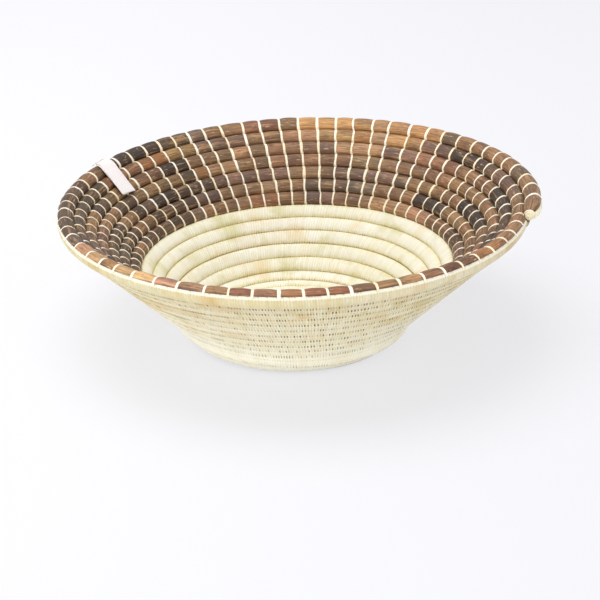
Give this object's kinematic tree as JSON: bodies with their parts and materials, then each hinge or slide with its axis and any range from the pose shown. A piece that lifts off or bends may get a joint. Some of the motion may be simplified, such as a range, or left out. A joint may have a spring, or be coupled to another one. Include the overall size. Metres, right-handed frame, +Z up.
{
  "type": "woven fruit bowl",
  "caption": "Shallow flared fruit bowl of coiled basketry: raffia-bound coil with a flat floor, dark bark strips inside the upper wall and a small blank cloth label sewn to the rim.",
  "frame": {"origin": "centre of the flat underside, where the coil starts", "axes": "+Z up, out of the bowl's mouth; +X towards the bound end of the coil on the rim, 14 degrees round from it"},
  "size_m": [0.2951, 0.2917, 0.0961],
  "materials": {
    "raffia": "matte, close stitched",
    "bark": "dull, with lengthwise fibres",
    "ribbon": "plain woven",
    "thread": "matte"
  },
  "bodies": {
    "bowl": {"start_curl": "raffia", "coil_row_01": "raffia", "coil_row_02": "raffia", "coil_row_03": "raffia", "coil_row_04": "raffia", "coil_row_05": "raffia", "coil_row_06": "raffia", "coil_row_07": "raffia", "coil_row_08": "raffia", "coil_row_09": "raffia", "coil_row_10": "raffia", "coil_row_11": "raffia", "coil_row_12": "raffia", "coil_row_13": "raffia", "coil_row_14": "raffia", "coil_row_15": "raffia", "coil_row_16": "raffia", "coil_row_17": "raffia", "coil_row_18": "raffia", "rim_end_binding": "raffia", "bark_strip_12": "bark", "bark_strip_13": "bark", "bark_strip_14": "bark", "bark_strip_15": "bark", "bark_strip_16": "bark", "bark_strip_17": "bark", "bark_strip_18": "bark", "label_thread": "thread"},
    "label": {"label": "ribbon"}
  },
  "joints": [
    {"name": "label_lift", "type": "hinge", "parent": "bowl", "child": "label", "pos_m": [-0.12535, 0.06891, 0.08759], "axis": [-0.4818, -0.8763, 0], "range_deg": [0, 110]}
  ]
}
